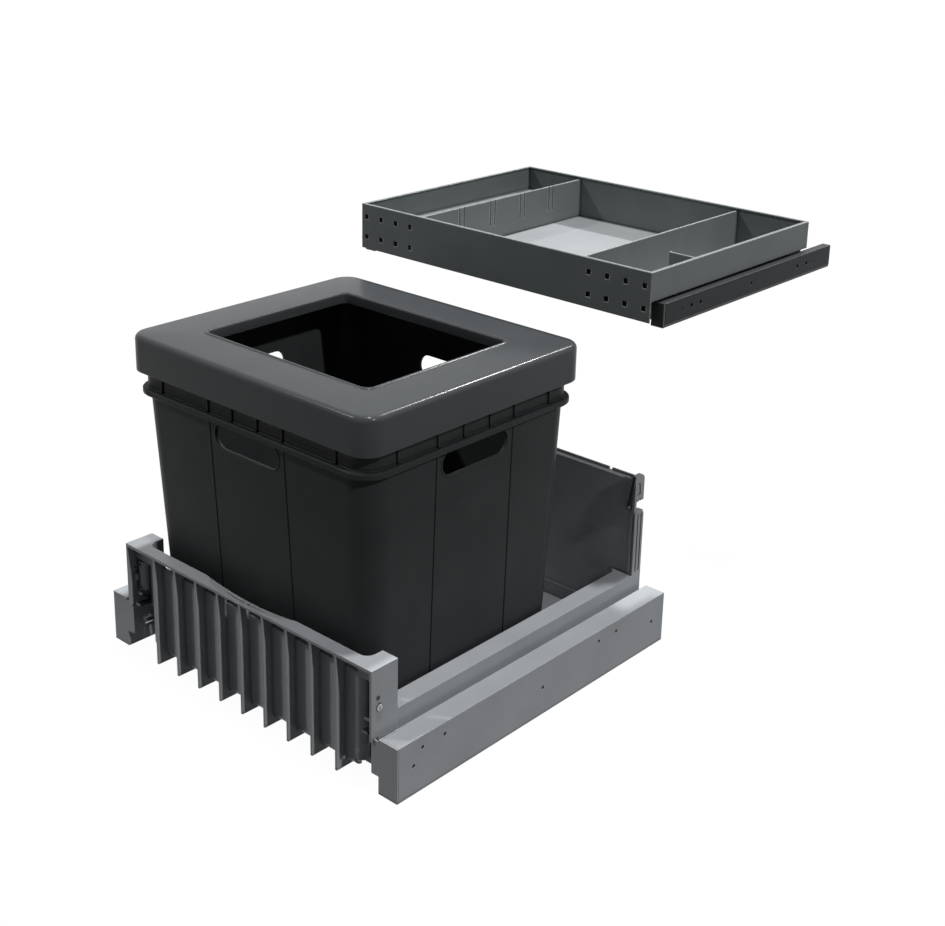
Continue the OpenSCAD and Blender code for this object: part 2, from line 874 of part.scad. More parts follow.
module tray() {
    wall_x = ledge_x + sheet_t;
    z0 = floor_z - sheet_t;
    wall_z = side_h - sheet_t;
    color(sheet_color) placed() {
        block([-wall_x, tray_front_y, z0], [wall_x, panel_y, floor_z]);
        both_sides() block([ledge_x, arm_back_y, z0], [wall_x, post_y0, wall_z]);
        block([-wall_x, tray_front_y, z0], [wall_x, tray_front_y + sheet_t, side_h]);
        block([-wall_x, panel_y - sheet_t, z0], [wall_x, panel_y, floor_z + 20]);
    }
}

module back_panel() {
    half = frame_half_w - post_w;
    fold_y = panel_y + panel_fold_d;
    color(panel_color) placed() {
        block([-half, panel_y, floor_z - sheet_t], [half, panel_y + sheet_t, panel_top_z]);
        block([-half, panel_y, panel_top_z - sheet_t], [half, fold_y, panel_top_z]);
        difference() {
            block([-half, fold_y - sheet_t, panel_top_z - 12], [half, fold_y, panel_top_z + panel_lip_h]);
            both_sides() block([lip_notch_x, fold_y - sheet_t - 1, panel_top_z],
                               [lip_notch_x + 5, fold_y + 1, panel_top_z + panel_lip_h + 1]);
        }
        both_sides() block([half - sheet_t, panel_y, floor_z - sheet_t], [half, fold_y, post_top_z]);
    }
}

// Post with a channelled profile
module rear_post() {
    x0 = frame_half_w - post_w;
    groove = 1.2;
    difference() {
        block([x0, post_y0, floor_z - sheet_t], [frame_half_w, frame_d, post_top_z]);
        for (y = [post_y0 + 5, post_y0 + 12]) {
            block([frame_half_w - groove, y, side_h + 4], [frame_half_w + 1, y + 2.5, post_top_z + 1]);
        }
        block([x0 + 4, post_y0 - 1, side_h + 4], [x0 + 6.5, post_y0 + groove, post_top_z + 1]);
    }
}

module rear_post_right() {
    color(sheet_color) placed() rear_post();
}

module rear_post_left() {
    color(sheet_color) placed() on_left() rear_post();
}

// Hook on the post: a notch open to the rear under a toothed block
module rear_hook() {
    x1 = frame_half_w;
    x0 = x1 - hook_t;
    z0 = post_top_z;
    y1 = frame_d - 2;
    r = 8;
    top_z = z0 + hook_h;
    difference() {
        union() {
            block([x1 - post_w, post_y0, z0], [x1, y1, z0 + 4]);
            block([x0, hook_y, z0 + 4 - eps], [x1, hook_y + 4, z0 + 22]);
            block([x0, post_y0, z0], [x1, hook_y + 4, z0 + 5]);
            block([x0, hook_y, z0 + 19], [x1, y1, top_z - r]);
            block([x0, hook_y, top_z - r - eps], [x1, y1 - r, top_z]);
            rod_x([x0, y1 - r, top_z - r], r, hook_t);
        }
        block([x0 - 1, post_y0 + 7, z0 + 18], [x1 + 1, post_y0 + 10, z0 + 22]);
        translate([x1 - 1.2, hook_y + 4, z0 + 27]) rotate([90, 0, 90]) linear_extrude(2)
            polygon([[0, 0], [8, 2], [6, 17], [3, 19]]);
    }
}

module rear_hook_right() {
    color(sheet_color) placed() rear_hook();
}

module rear_hook_left() {
    color(sheet_color) placed() on_left() rear_hook();
}

// Light clip at the panel's top corner, which carries the latch lever
module panel_clip() {
    x1 = frame_half_w - hook_t - 0.2;
    x0 = frame_half_w - 18.5;
    y1 = hook_y + 2.5;
    z0 = post_top_z + 7;
    r = 6;
    difference() {
        union() {
            block([x0, hook_y, z0 + r], [x1, y1, panel_top_z + 4]);
            block([x0 + r, hook_y, z0], [x1, y1, z0 + r + eps]);
            rod_y([x0 + r, hook_y, z0 + r], r, y1 - hook_y);
            block([x0, hook_y, panel_top_z - 6], [frame_half_w - post_w, panel_y, panel_top_z]);
        }
        rod_y([latch_x, hook_y - 1, latch_z], latch_pin_r + fit_gap, 5);
    }
}

module panel_clip_right() {
    color(sheet_color) placed() panel_clip();
}

module panel_clip_left() {
    color(sheet_color) placed() on_left() panel_clip();
}

module latch_lever() {
    y1 = hook_y - 0.3;
    difference() {
        translate([latch_x, y1 - latch_t, latch_z]) rotate([-90, 0, 0]) linear_extrude(latch_t) {
            circle(4);
            rotate(180 + latch_lean) translate([-1.8, 0]) square([3.6, latch_len]);
            rotate(180 + latch_lean) translate([0, latch_len]) circle(1.8);
        }
        rod_y([latch_x, y1 - latch_t - 1, latch_z], latch_pin_r + fit_gap, latch_t + 2);
    }
}

module latch_lever_right() {
    color(black_color) placed() latch_lever();
}

module latch_lever_left() {
    color(black_color) placed() on_left() latch_lever();
}

module latch_pins() {
    y0 = hook_y - 0.6 - latch_t;
    color(steel_color) placed() both_sides() {
        rod_y([latch_x, y0, latch_z], latch_pin_r, hook_y + 2.5 - y0);
        rod_y([latch_x, y0 - 1, latch_z], latch_pin_r + 0.8, 1);
    }
}

// Bin with a ribbed band, a flange, seams and four hand holes
module bin_slice(z, inset, t) {
    drop = wall_top_z - z;
    half = bin_w / 2 - wall_in_x - drop * bin_taper_x - inset;
    y0 = -bin_d / 2 + wall_in_front + drop * bin_taper_front + inset;
    y1 = bin_d / 2 - wall_in_back - drop * bin_taper_back - inset;
    translate([0, (y0 + y1) / 2, z]) linear_extrude(t)
        round_rect(2 * half, y1 - y0, wall_corner_r - inset, $fn = 32);
}

module bin() {
    slice_t = 0.5;
    color(bin_color) placed() translate([0, bin_cy, 0]) difference() {
        union() {
            hull() {
                bin_slice(bin_z0, 0, slice_t);
                bin_slice(wall_top_z, 0, slice_t);
            }
            round_box(bin_w - 2 * band_in, bin_d - 2 * band_in, bin_corner_r - band_in, wall_top_z,
                  bin_top_z);
            round_box(bin_w, bin_d, bin_corner_r, flange_top_z + band_top_in, bin_top_z);
            round_box(bin_w + 2 * flange_out, bin_d + 2 * flange_out, bin_corner_r + flange_out,
                      wall_top_z, flange_top_z);
            band_ribs();
            seams();
            hand_rims();
        }
        hull() {
            bin_slice(bin_z0 + bin_t, bin_t, slice_t);
            bin_slice(wall_top_z, bin_t, slice_t);
        }
        round_box(bin_w - 2 * (band_in + bin_t + 1), bin_d - 2 * (band_in + bin_t + 1),
                  bin_corner_r - band_in - bin_t, wall_top_z, bin_top_z + 1);
        hand_holes();
    }
}

module band_ribs() {
    z0 = flange_top_z - 1;
    z1 = flange_top_z + 19;
    for (x = rib_places(bin_w), s = [-1, 1]) {
        translate([x, s * (bin_d / 2 - 2), (z0 + z1) / 2]) cube([band_rib_t, 4, z1 - z0], center = true);
    }
    for (y = rib_places(bin_d), s = [-1, 1]) {
        translate([s * (bin_w / 2 - 2), y, (z0 + z1) / 2]) cube([4, band_rib_t, z1 - z0], center = true);
    }
}

function rib_places(w) = [for (s = [-1, 1], x = [rib_inner, rib_outer, w / 2 - rib_corner]) s * x];

// Upright seams beside the hand holes, raised from the tapered walls
module seams() {
    for (x = [-rib_outer, rib_outer]) {
        seam_on(x, bin_d / 2 - wall_in_front, bin_taper_front);
        rotate(180) seam_on(x, bin_d / 2 - wall_in_back, bin_taper_back);
        for (a = [-90, 90]) rotate(a) seam_on(x, bin_w / 2 - wall_in_x, bin_taper_x);
    }
}

module seam_on(x, reach, taper) {
    length = wall_top_z - seam_z0;
    translate([x, -reach, wall_top_z]) rotate([atan(taper), 0, 0])
        translate([-seam_t / 2, -seam_out, -length]) cube([seam_t, 1.6, length]);
}

// A slot outline along X, centred
module slot_outline(w, h) {
    square([w - h, h], center = true);
    for (s = [-1, 1]) translate([s * (w - h) / 2, 0]) circle(h / 2);
}

module hand_holes() {
    for (a = [0, 90]) {
        translate([0, 0, hand_z]) rotate([90, 0, a]) linear_extrude(bin_w + 20, center = true)
            slot_outline(hand_w, hand_h);
    }
}

// Raised rims round the hand holes
module hand_rims() {
    fall = (wall_top_z - hand_z);
    hand_rim_on(0, bin_d / 2 - wall_in_front - fall * bin_taper_front);
    hand_rim_on(180, bin_d / 2 - wall_in_back - fall * bin_taper_back);
    for (a = [-90, 90]) hand_rim_on(a, bin_w / 2 - wall_in_x - fall * bin_taper_x);
}

module hand_rim_on(a, reach) {
    rotate(a) translate([0, -reach - hand_rim_out, hand_z]) rotate([-90, 0, 0])
        linear_extrude(3) slot_outline(hand_w + 2 * hand_rim, hand_h + 2 * hand_rim);
}

// Lid frame with a round shoulder, a skirt and a collar round its opening
module lid_frame() {
    color(lid_color) placed() translate([0, bin_cy, 0]) difference() {
        union() {
            difference() {
                lid_shell();
                round_box(lid_w - 2 * lid_t, lid_d - 2 * lid_t, lid_corner_r - lid_t,
                          skirt_z - 1, lid_top_z - lid_t);
            }
            collar();
            lid_ribs();
        }
        round_box(lid_open_w, lid_open_d, open_corner_r, skirt_z - 2, lid_top_z + 1);
    }
}

module lid_shell() {
    z1 = lid_top_z - shoulder_r;
    inner_r = lid_corner_r - shoulder_r;
    round_box(lid_w, lid_d, lid_corner_r, skirt_z, z1);
    round_box(lid_w - 2 * shoulder_r, lid_d - 2 * shoulder_r, inner_r, z1 - 1, lid_top_z);
    for (a = [0, 180]) rotate(a) shoulder_side(lid_w - 2 * lid_corner_r, lid_d / 2, z1);
    for (a = [-90, 90]) rotate(a) shoulder_side(lid_d - 2 * lid_corner_r, lid_w / 2, z1);
    for (x = [-1, 1], y = [-1, 1]) {
        translate([x * (lid_w / 2 - lid_corner_r), y * (lid_d / 2 - lid_corner_r), z1]) rotate_extrude() {
            square([inner_r + eps, shoulder_r]);
            translate([inner_r, 0]) quarter(shoulder_r);
        }
    }
}

module quarter(r) {
    intersection() {
        circle(r);
        square(r);
    }
}

module shoulder_side(length, reach, z1) {
    translate([-length / 2, reach - shoulder_r, z1]) rotate([90, 0,
          90]) linear_extrude(length) quarter(shoulder_r);
}

// Ribs inside the skirt that centre the lid on the bin
module lid_ribs() {
    z0 = skirt_z + 4;
    z1 = lid_top_z - lid_t + eps;
    reach = lid_gap - 0.3;
    for (s = [-1, 1], x = [-lid_rib_x, lid_rib_x]) {
        rotate(s * 90) translate([x, lid_w / 2 - lid_t - reach / 2, (z0 + z1) / 2])
            cube([lid_rib_t, reach + eps, z1 - z0], center = true);
        translate([x, s * (lid_d / 2 - lid_t - reach / 2), (z0 + z1) / 2])
            cube([lid_rib_t, reach + eps, z1 - z0], center = true);
    }
}

module collar() {
    difference() {
        round_box(lid_open_w + 2 * lid_t, lid_open_d + 2 * lid_t, open_corner_r + lid_t,
                  lid_top_z - collar_h, lid_top_z - lid_t + eps);
        round_box(lid_open_w, lid_open_d, open_corner_r, lid_top_z - collar_h - 1, lid_top_z + 1);
    }
}

// Upper drawer
module drawer_shell() {
    color(drawer_color) placed() difference() {
        union() {
            drawer_front();
            both_sides() drawer_side();
            block([-drawer_half_w, drawer_back_y - drawer_t, drawer_z],
                  [drawer_half_w, drawer_back_y, drawer_top_z]);
            block([-drawer_half_w, drawer_back_y - hem_w, drawer_top_z - drawer_t],
                  [drawer_half_w, drawer_back_y, drawer_top_z]);
        }
        both_sides() back_corner_cut();
        both_sides() square_holes();
        both_sides() rivet_shafts(step_x - 2, drawer_rivet_r + fit_gap, drawer_rivet_depth);
    }
}

module drawer_front() {
    block([-drawer_half_w, drawer_front_y, drawer_z],
          [drawer_half_w, drawer_front_y + drawer_t, drawer_top_z]);
    block([-drawer_half_w, drawer_front_y, drawer_top_z - drawer_t],
          [drawer_half_w, drawer_front_y + hem_w, drawer_top_z]);
}

module drawer_side() {
    y0 = drawer_front_y;
    y1 = drawer_back_y;
    block([drawer_half_w - drawer_t, y0, step_z], [drawer_half_w, y1, drawer_top_z]);
    block([drawer_half_w - hem_w, y0, drawer_top_z - drawer_t], [drawer_half_w, y1, drawer_top_z]);
    block([step_x, y0, step_z], [drawer_half_w, y1, step_z + drawer_t]);
    block([step_x, y0, drawer_z], [step_x + drawer_t, y1, step_z + drawer_t]);
}

// The back wall is cut away where the runner passes it
module back_corner_cut() {
    block([step_x + drawer_t, drawer_front_y + drawer_t, drawer_z - 1],
          [drawer_half_w + 1, drawer_back_y + 1, step_z]);
}

module square_holes() {
    for (i = [0 : 3], j = [0, 1]) {
        x = drawer_half_w - square_edge - i * square_pitch_x;
        z = drawer_z + square_low + j * square_pitch_z;
        translate([x - square_hole / 2, drawer_front_y - 1, z - square_hole / 2])
            cube([square_hole, drawer_t + 2, square_hole]);
    }
}

module rivet_shafts(x, r, len) {
    for (y = [drawer_front_y + drawer_rivet_inset, drawer_back_y - drawer_rivet_inset]) {
        rod_x([x, y, runner_zc], r, len);
    }
}

module drawer_rivets() {
    color(steel_color) placed() both_sides() {
        rivet_shafts(step_x - drawer_rivet_head_h, drawer_rivet_head_r, drawer_rivet_head_h);
        rivet_shafts(step_x - eps, drawer_rivet_r, drawer_rivet_depth - 0.1);
    }
}

module drawer_floor() {
    color(floor_color) placed() block([-step_x, drawer_front_y + drawer_t, drawer_z],
                                      [step_x, drawer_back_y - drawer_t, floor_top_z]);
}

// A divider with grooves in the face that looks to the middle (side is 1 for +X and -1 for -X)
module divider(x, side) {
    y0 = drawer_front_y + drawer_t;
    y1 = drawer_back_y - drawer_t;
    deep = x + side * (divider_t / 2 - divider_slot_depth);
    out = x + side * (divider_t / 2 + 1);
    difference() {
        block([x - divider_t / 2, y0, floor_top_z], [x + divider_t / 2, y1, divider_top_z]);
        for (i = [0 : slot_count - 1], j = [0, 1]) {
            y = slot_front_y + i * slot_pitch + j * slot_pair_gap;
            block([min(deep, out), y - divider_slot_w / 2, divider_top_z - divider_slot_h],
                  [max(deep, out), y + divider_slot_w / 2, divider_top_z + 1]);
        }
    }
    for (y = [y0, y1 - drawer_t]) {
        block([x - divider_flange, y, floor_top_z], [x, y + drawer_t, divider_top_z - 3]);
    }
}

module divider_left() {
    color(drawer_color) placed() divider(-left_divider_x, 1);
}

module divider_right() {
    color(drawer_color) placed() divider(right_divider_x, -1);
}

// Short cross wall fixed to the drawer's right side
module cross_divider() {
    color(drawer_color) placed() {
        block([cross_x, cross_y, floor_top_z], [step_x, cross_y + divider_t, cross_top_z]);
        block([cross_x, cross_y, floor_top_z], [step_x, cross_y + divider_flange, floor_top_z + divider_t]);
        block([cross_x, cross_y, floor_top_z], [cross_x + divider_t, cross_y + 4, cross_top_z]);
    }
}

// Drawer runners
module runner_channel() {
    difference() {
        channel(half_w, runner_depth, channel_half_h, channel_t, runner_zc, channel_y0, channel_y1);
        for (y = runner_screw_holes) channel_hole(y, runner_hole_r);
        for (y = runner_pin_holes) channel_hole(y, runner_pin_r);
    }
}

module channel_hole(y, r) {
    rod_x([half_w - channel_t - 1, channel_y0 + y, runner_zc], r, channel_t + 2);
}

module runner_channel_right() {
    color(drawer_color) placed() runner_channel();
}

module runner_channel_left() {
    color(drawer_color) placed() on_left() runner_channel();
}

// Black base under the channel, with a stop behind its rear end
module runner_base() {
    block([runner_x0 + 2, channel_y0, runner_z], [half_w - 0.5, channel_y1, channel_z0]);
}

module runner_base_right() {
    color(black_color) placed() runner_base();
}

module runner_base_left() {
    color(black_color) placed() on_left() runner_base();
}

module runner_outer_cages() {
    color(cage_color) placed() both_sides()
        cage(half_w - channel_t - 0.4, 0.6, runner_ball_x - 2, runner_ball_dz, 0.8, runner_ball_x,
              runner_ball_r,
             runner_zc, runner_cage_y, runner_cage_len, runner_ball_count, runner_ball_inset);
}

module runner_outer_balls() {
    color(steel_color) placed() both_sides()
        balls(runner_ball_x, runner_ball_r, runner_ball_dz, runner_zc, runner_cage_y, runner_cage_len,
              runner_ball_count, runner_ball_inset);
}

module runner_inner_cages() {
    color(cage_color) placed() both_sides()
        cage(runner_mid_x - thin_t - 0.5, 0.6, runner_small_x - 1.8, runner_small_dz, 0.8, runner_small_x,
             runner_small_r, runner_zc, runner_cage_y, runner_cage_len, runner_ball_count,
                   runner_ball_inset);
}

module runner_inner_balls() {
    color(steel_color) placed() both_sides()
        balls(runner_small_x, runner_small_r, runner_small_dz, runner_zc, runner_cage_y, runner_cage_len,
              runner_ball_count, runner_ball_inset);
}

module runner_middle() {
    channel(runner_mid_x, runner_middle_depth, runner_mid_half_h, thin_t, runner_zc,
            channel_y0 + runner_front_play, channel_y1 - runner_end_play);
}

module runner_middle_right() {
    color(steel_color) placed() runner_middle();
}

module runner_middle_left() {
    color(steel_color) placed() on_left() runner_middle();
}

module drawer_rail() {
    y0 = runner_front_y + runner_cap_t;
    difference() {
        block([step_x + drawer_t, y0, runner_zc - runner_rail_half_h],
              [runner_rail_x1, drawer_back_y - 2, runner_zc + runner_rail_half_h]);
        rivet_shafts(step_x, drawer_rivet_r + fit_gap, drawer_rivet_depth);
    }
}

module drawer_rail_right() {
    color(steel_color) placed() drawer_rail();
}

module drawer_rail_left() {
    color(steel_color) placed() on_left() drawer_rail();
}

module runner_caps() {
    color(black_color) placed() both_sides()
        block([step_x + drawer_t, runner_front_y, runner_z],
              [half_w - cap_gap, runner_front_y + runner_cap_t, runner_z + runner_h]);
}

rail_case_left();
rail_case_right();
cabinet_rail_left();
cabinet_rail_right();
outer_cage_left();
outer_cage_right();
outer_balls();
middle_rail_left();
middle_rail_right();
inner_cage_left();
inner_cage_right();
inner_balls();
frame_rail_left();
frame_rail_right();
rail_front_cap_left();
rail_front_cap_right();
frame_rivets();
front_bracket();
side_frame_left();
side_frame_right();
tray();
back_panel();
rear_post_left();
rear_post_right();
rear_hook_left();
rear_hook_right();
panel_clip_left();
panel_clip_right();
latch_lever_left();
latch_lever_right();
latch_pins();
door_carrier_left();
door_carrier_right();
height_screw_left();
height_screw_right();
lock_lever_left();
lock_lever_right();
lock_screws();
frame_pegs();
bin();
lid_frame();
drawer_shell();
drawer_floor();
divider_left();
divider_right();
cross_divider();
runner_channel_left();
runner_channel_right();
runner_base_left();
runner_base_right();
runner_outer_cages();
runner_outer_balls();
runner_middle_left();
runner_middle_right();
runner_inner_cages();
runner_inner_balls();
drawer_rail_left();
drawer_rail_right();
drawer_rivets();
runner_caps();
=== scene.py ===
import json
import math

import bmesh
import bpy
from mathutils import Matrix, Vector


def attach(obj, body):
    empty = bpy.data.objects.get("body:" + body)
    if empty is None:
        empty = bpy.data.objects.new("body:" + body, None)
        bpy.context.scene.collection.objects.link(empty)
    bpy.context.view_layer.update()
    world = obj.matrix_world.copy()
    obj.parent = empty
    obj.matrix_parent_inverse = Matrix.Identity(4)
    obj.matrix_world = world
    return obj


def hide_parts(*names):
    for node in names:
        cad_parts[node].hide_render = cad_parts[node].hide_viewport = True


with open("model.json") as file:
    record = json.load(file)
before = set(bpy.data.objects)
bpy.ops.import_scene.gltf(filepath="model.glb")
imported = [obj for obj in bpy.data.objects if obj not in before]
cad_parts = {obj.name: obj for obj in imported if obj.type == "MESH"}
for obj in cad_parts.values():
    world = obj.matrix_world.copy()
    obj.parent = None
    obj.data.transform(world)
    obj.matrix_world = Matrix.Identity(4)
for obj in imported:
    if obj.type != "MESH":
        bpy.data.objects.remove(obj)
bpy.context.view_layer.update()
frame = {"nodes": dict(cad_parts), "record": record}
nodes = frame["nodes"]
MM = 0.001

# Camera, fitted to the photograph's straight edges (picture sizes in pixels)
PHOTO_W = 945
PHOTO_H = 926
FOCAL_PX = 1500.7
CENTRE_PX = (447.9, 316.9)
AZIMUTH = math.radians(42.375)
ELEVATION = math.radians(17.63)
ROLL = math.radians(0.997)
CAMERA_AT = Vector((1239.1, -1435.35, 1007.5)) * MM
SENSOR_MM = 36
FARTHEST_M = 100


def make_camera():
    """The photograph's viewpoint, with the lens shifted to the picture centre that the fit gave."""
    flat = math.cos(ELEVATION)
    back = Vector((math.sin(AZIMUTH) * flat, -math.cos(AZIMUTH) * flat, math.sin(ELEVATION)))
    level = Vector((math.cos(AZIMUTH), math.sin(AZIMUTH), 0))
    rise = back.cross(level)
    right = math.cos(ROLL) * level + math.sin(ROLL) * rise
    up = math.cos(ROLL) * rise - math.sin(ROLL) * level
    data = bpy.data.cameras.new("photo_camera")
    data.sensor_width = SENSOR_MM
    data.lens = FOCAL_PX / PHOTO_W * SENSOR_MM
    data.shift_x = (PHOTO_W / 2 - CENTRE_PX[0]) / PHOTO_W
    data.shift_y = (CENTRE_PX[1] - PHOTO_H / 2) / PHOTO_W
    data.clip_end = FARTHEST_M
    camera = bpy.data.objects.new("photo_camera", data)
    camera.matrix_world = Matrix((right, up, back)).transposed().to_4x4()
    camera.location = CAMERA_AT
    bpy.context.scene.collection.objects.link(camera)
    bpy.context.scene.camera = camera


make_camera()

# Patterns that every surface shares: cloudy colour, smeared gloss, and the reach of the painted shade in
# crevices
CLOUD_MM = 70
SMEAR_MM = 16
CREVICE_MM = 5
BUMP_STRENGTH = 0.6
EDGE_SAMPLES = 6
CREVICE_SAMPLES = 4
# An edge turns pale where the rounded normal leans from the true one, partly as wear and partly as painted
# highlight: cosines where the paleness starts and is full
PALE_EDGE_STARTS = 0.985
PALE_EDGE_FULL = 0.80
# The smears break up the pale edges, down to this share
BREAK_LOW = 0.30
BREAK_HIGH = 0.62
BREAK_LEAST = 0.45
# Openness to the surroundings, from 0 to 1, between which an edge starts to turn pale with wear and painted
# highlight
OPEN_EDGE_PLAIN = 0.72
OPEN_EDGE_PALE = 0.92
# Openness between which the painted shade in crevices fades out, and its deepest painted shade
OPEN_SHADED = 0.45
OPEN_LIT = 0.9
SHADE_LEAST = 0.3
# The spans that the cloud and smear patterns mostly fill
CLOUD_SPAN = (0.3, 0.7)
SMEAR_SPAN = (0.25, 0.75)


def linear(hex_colour):
    """An sRGB hex colour as linear RGBA."""
    parts = [int(hex_colour[i:i + 2], 16) / 255 for i in (1, 3, 5)]
    return [c / 12.92 if c <= 0.04045 else ((c + 0.055) / 1.055) ** 2.4 for c in parts] + [1]


def add(tree, kind, settings=None, **sockets):
    """A node with its settings and its sockets, each set to a number or linked to an output."""
    node = tree.nodes.new(kind)
    for key, value in (settings or {}).items():
        setattr(node, key, value)
    for key, value in sockets.items():
        numbered = key[0] == "i" and key[1:].isdigit()
        socket = node.inputs[int(key[1:]) if numbered else key.replace("_", " ")]
        if isinstance(value, bpy.types.NodeSocket):
            tree.links.new(value, socket)
        else:
            socket.default_value = value
    return node


def per_mm(size_mm):
    """A texture scale whose features are this many millimetres wide."""
    return 1 / (size_mm * MM)


def new_material(name):
    material = bpy.data.materials.new(name)
    material.use_nodes = True
    material.node_tree.nodes.clear()
    return material, material.node_tree


def surface(name, colour, wear_and_highlight_colour, rough, swing, grain_mm, depth_mm, edge_mm,
            wear_and_highlight_amount=0.5, mottle=0.06, metallic=0.0, ior=1.5, specular=0.5, brushed=None,
            coat=0.0, coat_rough=0.1):
    """A moulded, coated or rolled surface: grain in its bump, uneven gloss, cloudy colour, pale edges that
    are partly wear and partly painted highlight, and painted shade in inner corners.
    """
    material, tree = new_material(name)
    place = add(tree, "ShaderNodeTexCoord").outputs["Object"]
    if brushed:
        place = add(tree, "ShaderNodeMapping", Vector=place, Scale=brushed).outputs[0]
    grain = add(tree, "ShaderNodeTexNoise", Vector=place, Scale=per_mm(grain_mm), Detail=3.0, Roughness=0.6)
    cloud = add(tree, "ShaderNodeTexNoise", Vector=place, Scale=per_mm(CLOUD_MM), Detail=4.0, Roughness=0.55)
    smear = add(tree, "ShaderNodeTexNoise", Vector=place, Scale=per_mm(SMEAR_MM), Detail=5.0, Roughness=0.7)
    # Edges look rounded, and the convex ones are painted pale in broken patches, partly as wear and partly as
    # painted highlight
    rounded = add(tree, "ShaderNodeBevel", {"samples": EDGE_SAMPLES}, Radius=edge_mm * MM)
    true_normal = add(tree, "ShaderNodeNewGeometry").outputs["Normal"]
    lean = add(tree, "ShaderNodeVectorMath", {"operation": "DOT_PRODUCT"},
               i0=rounded.outputs[0], i1=true_normal)
    edge = add(tree, "ShaderNodeMapRange", i0=lean.outputs["Value"], i1=PALE_EDGE_STARTS, i2=PALE_EDGE_FULL,
               i3=0.0, i4=wear_and_highlight_amount)
    broken = add(tree, "ShaderNodeMapRange", i0=smear.outputs[0], i1=BREAK_LOW, i2=BREAK_HIGH,
                 i3=BREAK_LEAST, i4=1.0)
    rubbed_and_highlit = add(tree, "ShaderNodeMath", {"operation": "MULTIPLY"}, i0=edge.outputs[0], i1=broken.outputs[0])
    # Inner corners see less of their surroundings: they get no pale edge, and their colour is darkened there
    # as painted shade
    openness = add(tree, "ShaderNodeAmbientOcclusion", {"samples": CREVICE_SAMPLES},
                   Distance=CREVICE_MM * MM).outputs["AO"]
    outer = add(tree, "ShaderNodeMapRange", i0=openness, i1=OPEN_EDGE_PLAIN, i2=OPEN_EDGE_PALE, i3=0.0, i4=1.0)
    painted_crevice_shade = add(tree, "ShaderNodeMapRange", i0=openness, i1=OPEN_SHADED, i2=OPEN_LIT,
                  i3=SHADE_LEAST, i4=1.0)
    wear_and_painted_highlight = add(tree, "ShaderNodeMath", {"operation": "MULTIPLY"},
                    i0=rubbed_and_highlit.outputs[0], i1=outer.outputs[0])
    shade = add(tree, "ShaderNodeMapRange", i0=cloud.outputs[0], i1=CLOUD_SPAN[0], i2=CLOUD_SPAN[1],
                i3=1 - mottle, i4=1 + mottle)
    # The cloudy tone, times the painted shade in inner corners
    depth = add(tree, "ShaderNodeMath", {"operation": "MULTIPLY"}, i0=shade.outputs[0], i1=painted_crevice_shade.outputs[0])
    base = add(tree, "ShaderNodeVectorMath", {"operation": "SCALE"},
               i0=linear(colour)[:3], Scale=depth.outputs[0])
    mixed = add(tree, "ShaderNodeMix", {"data_type": "RGBA"}, i0=wear_and_painted_highlight.outputs[0],
                i6=base.outputs[0], i7=linear(wear_and_highlight_colour))
    gloss = add(tree, "ShaderNodeMapRange", i0=smear.outputs[0], i1=SMEAR_SPAN[0], i2=SMEAR_SPAN[1],
                i3=rough - swing, i4=rough + swing)
    bump = add(tree, "ShaderNodeBump", Height=grain.outputs[0], Normal=rounded.outputs[0],
               Strength=BUMP_STRENGTH, Distance=depth_mm * MM)
    shader = add(tree, "ShaderNodeBsdfPrincipled", Base_Color=mixed.outputs[2], Roughness=gloss.outputs[0],
                 Normal=bump.outputs[0], Metallic=metallic, IOR=ior, Specular_IOR_Level=specular,
                 Coat_Weight=coat, Coat_Roughness=coat_rough)
    add(tree, "ShaderNodeOutputMaterial", Surface=shader.outputs[0])
    return material


# Powder-coated sheet: satin, with a fine orange peel that breaks up its highlights
powder_coat = surface("powder_coated_steel", "#a8acb0", "#dfe2e4", rough=0.42, swing=0.05,
                      grain_mm=1.1, depth_mm=0.03, edge_mm=1.1, wear_and_highlight_amount=0.8, specular=0.2)
# The same coat on the frame behind the bracket, a little darker
frame_coat = surface("powder_coated_frame", "#a6aaae", "#dadde0", rough=0.44, swing=0.05,
                     grain_mm=1.1, depth_mm=0.03, edge_mm=1.1, wear_and_highlight_amount=0.8, specular=0.2)
# Flatter powder coat of the back panel, which looks dark in the photograph because it stands in shade
panel_coat = surface("flat_powder_coat", "#b0b3b6", "#dcdee0", rough=0.60, swing=0.05,
                     grain_mm=1.1, depth_mm=0.03, edge_mm=0.6, specular=0.1)
# Moulded ABS of the bracket: fine spark-eroded grain, softly rounded edges, and pale edges that are partly
# wear and partly painted highlight
bracket_abs = surface("grained_abs", "#a8acb0", "#e0e3e5", rough=0.40, swing=0.05,
                      grain_mm=0.8, depth_mm=0.04, edge_mm=1.1, wear_and_highlight_amount=0.8, ior=1.53, specular=0.15)
# Moulded polypropylene of the bin: near black and dull, a little paler at its rims, partly as wear and partly
# as painted highlight
bin_polypropylene = surface("black_polypropylene", "#3a3c3d", "#7c8082", rough=0.42, swing=0.06,
                            grain_mm=0.9, depth_mm=0.03, edge_mm=0.8, wear_and_highlight_amount=0.45, mottle=0.10,
                            ior=1.49, specular=0.05)
# Dull black of the bin's seams, and of the painted-shade sheets behind the drawer's holes, which stand in for
# the shade there
seam_and_shade_black = surface("dull_black_seam_and_painted_shade", "#0b0c0c", "#1a1b1c", rough=0.60, swing=0.04,
                     grain_mm=0.9, depth_mm=0.02, edge_mm=0.3, ior=1.49, specular=0.05)
# Moulded polypropylene of the lid: dark grey with a silky sheen
lid_polypropylene = surface("grey_polypropylene", "#414446", "#a9adb0", rough=0.36, swing=0.05,
                            grain_mm=0.9, depth_mm=0.03, edge_mm=1.2, wear_and_highlight_amount=0.6, ior=1.49, specular=0.03,
                            coat=0.25, coat_rough=0.2)
